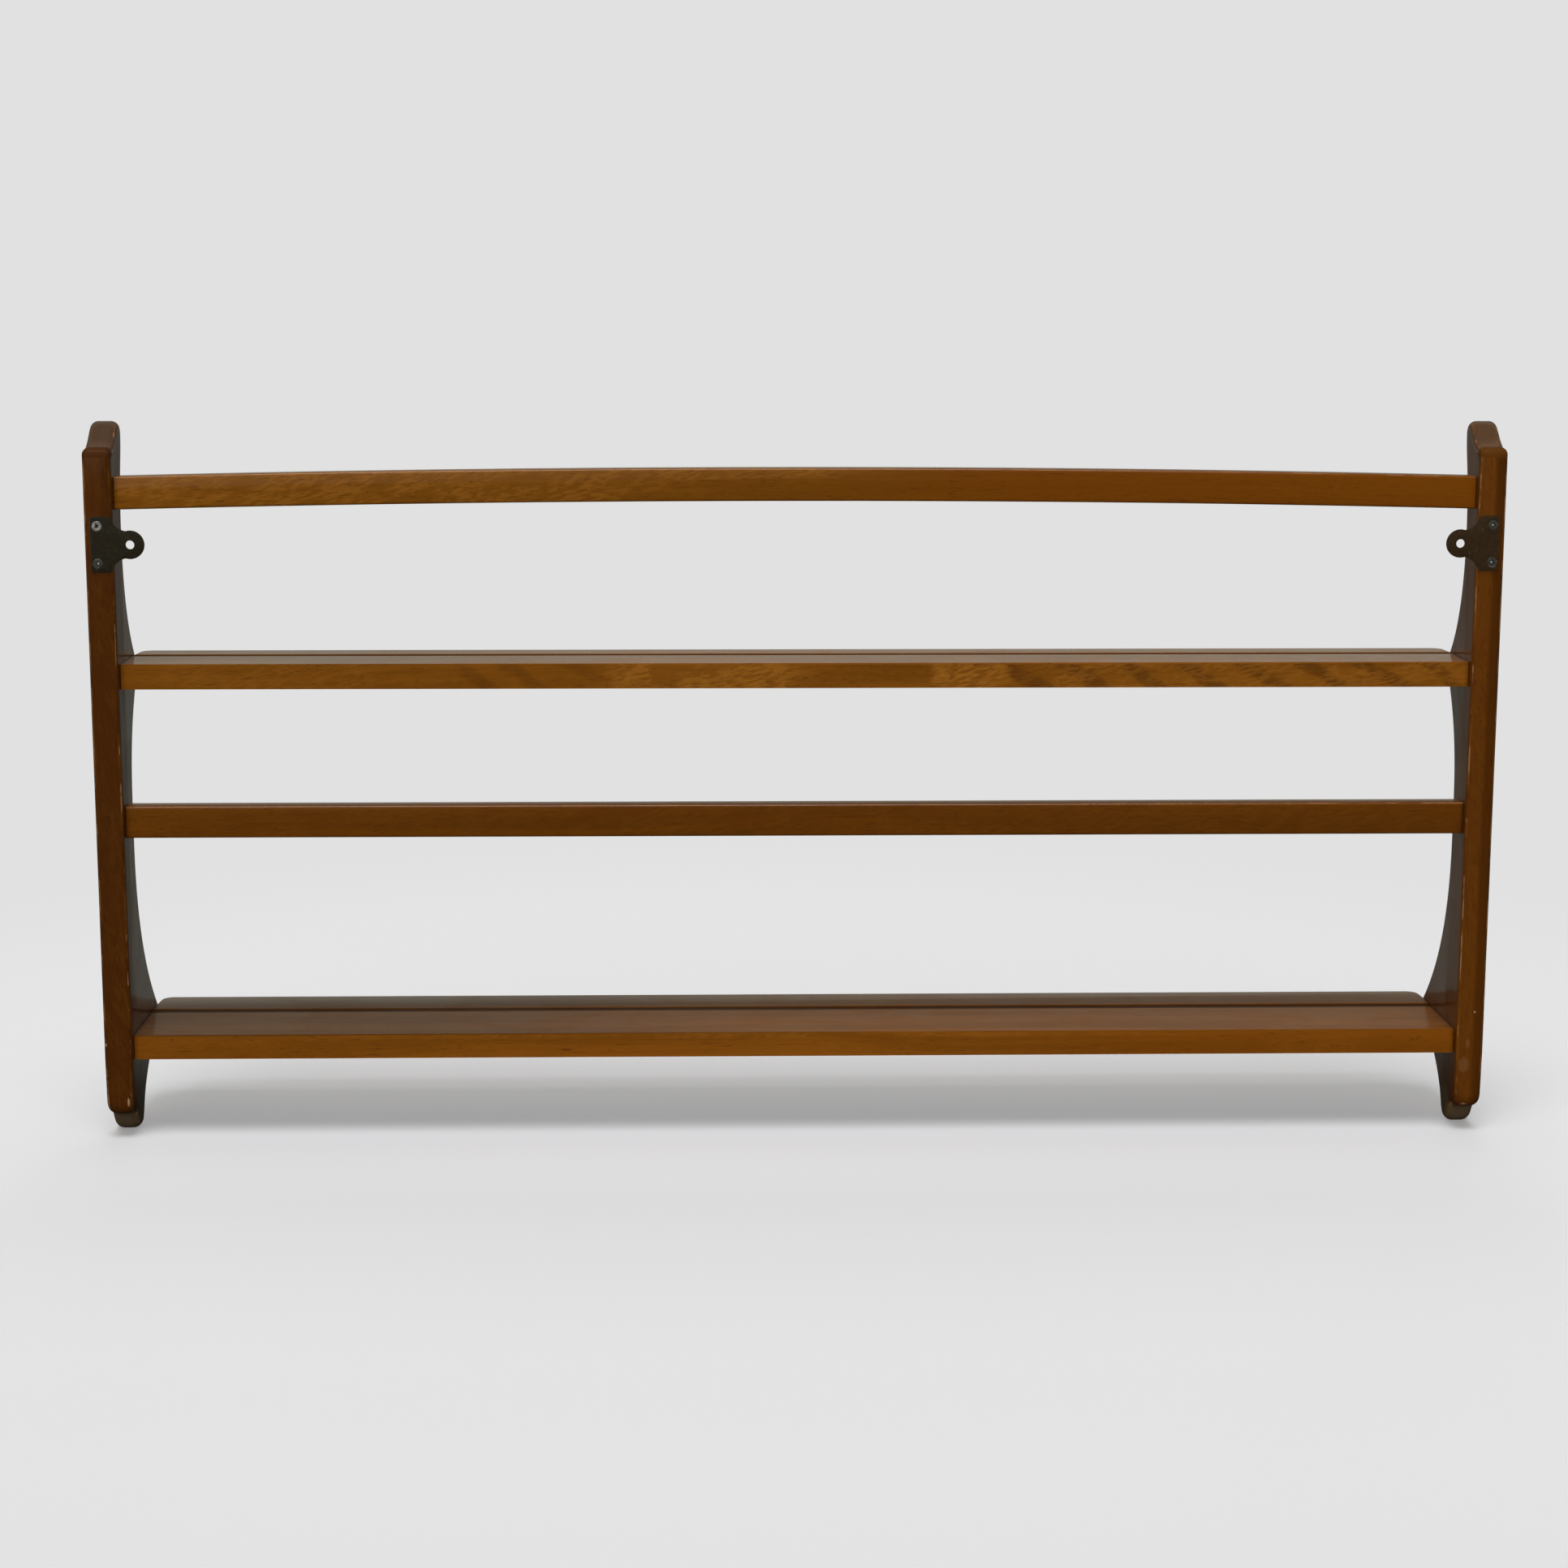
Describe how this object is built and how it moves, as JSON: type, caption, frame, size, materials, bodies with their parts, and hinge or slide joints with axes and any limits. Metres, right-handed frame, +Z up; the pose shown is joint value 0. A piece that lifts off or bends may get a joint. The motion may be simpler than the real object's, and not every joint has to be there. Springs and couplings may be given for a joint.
{
  "type": "wall-hung plate rack",
  "caption": "Wall-hung wooden plate rack with shaped end panels, two grooved shelves, two rails and metal hanging plates screwed to the back.",
  "frame": {"origin": "on the wall plane, midway between the two hanging holes", "axes": "+Z up, +Y into the wall, X along the rack; the room side with the scalloped front edges faces -Y"},
  "size_m": [0.97, 0.1219, 0.5],
  "materials": {
    "panel_wood": "dark stained hardwood under satin lacquer, edges a little worn",
    "rail_wood": "dark stained hardwood under satin lacquer, mottled golden figure",
    "shelf_wood": "dark stained hardwood under satin lacquer, soft sheen on the top",
    "dowel_wood": "plain turned beech, no finish",
    "plate_metal": "dark bronzed steel, satin, slightly worn",
    "screw_metal": "bright zinc-plated steel, dull with age"
  },
  "bodies": {
    "root": {"end_panel_left": "panel_wood", "end_panel_right": "panel_wood", "top_rail": "rail_wood", "lower_rail": "rail_wood", "middle_shelf": "shelf_wood", "bottom_shelf": "shelf_wood", "top_rail_dowel_left": "dowel_wood", "top_rail_dowel_right": "dowel_wood", "lower_rail_dowel_left": "dowel_wood", "lower_rail_dowel_right": "dowel_wood", "middle_shelf_dowel_1_left": "dowel_wood", "middle_shelf_dowel_1_right": "dowel_wood", "middle_shelf_dowel_2_left": "dowel_wood", "middle_shelf_dowel_2_right": "dowel_wood", "bottom_shelf_dowel_1_left": "dowel_wood", "bottom_shelf_dowel_1_right": "dowel_wood", "bottom_shelf_dowel_2_left": "dowel_wood", "bottom_shelf_dowel_2_right": "dowel_wood", "bottom_shelf_dowel_3_left": "dowel_wood", "bottom_shelf_dowel_3_right": "dowel_wood", "hanging_plate_left": "plate_metal", "hanging_plate_right": "plate_metal", "plate_screw_left_upper": "screw_metal", "plate_screw_left_lower": "screw_metal", "plate_screw_right_upper": "screw_metal", "plate_screw_right_lower": "screw_metal"}
  },
  "joints": []
}
